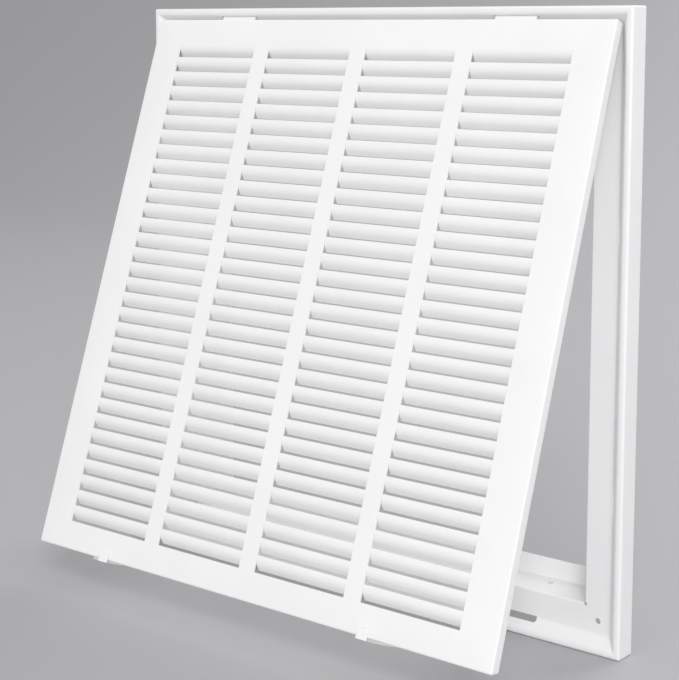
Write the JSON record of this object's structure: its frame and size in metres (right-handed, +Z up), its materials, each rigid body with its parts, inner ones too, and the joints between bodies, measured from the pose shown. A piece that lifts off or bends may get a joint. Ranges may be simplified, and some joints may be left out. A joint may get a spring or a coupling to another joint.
{
  "type": "return air grille",
  "caption": "Square white steel return air grille with a bottom-opening louvred door, a filter recess behind it and slide latches.",
  "frame": {"origin": "middle of the frame's bottom edge, in the plane of the rim's front band", "axes": "+X along the frame's width, +Y back into the wall and duct, +Z up the frame"},
  "size_m": [0.4732, 0.1921, 0.4731],
  "materials": {
    "frame_paint": "satin white powder coat",
    "door_paint": "satin white powder coat",
    "latch_paint": "white moulded plastic"
  },
  "bodies": {
    "frame": {"frame_bottom": "frame_paint", "frame_left": "frame_paint", "frame_top": "frame_paint", "frame_right": "frame_paint"},
    "door": {"door_panel": "door_paint", "hinge_hook_left": "door_paint", "hinge_hook_right": "door_paint"},
    "left_latch": {"latch_left": "latch_paint"},
    "right_latch": {"latch_right": "latch_paint"}
  },
  "joints": [
    {"name": "door_hinge", "type": "hinge", "parent": "frame", "child": "door", "pos_m": [0, 0.0026, 0.4654], "axis": [-1, 0, 0], "range_deg": [-18.8, 71.2]},
    {"name": "left_latch_slide", "type": "slide", "parent": "door", "child": "left_latch", "axis": [0, 0.3223, 0.9466], "range_m": [0, 0.0031]},
    {"name": "right_latch_slide", "type": "slide", "parent": "door", "child": "right_latch", "axis": [0, 0.3223, 0.9466], "range_m": [0, 0.0031]}
  ]
}
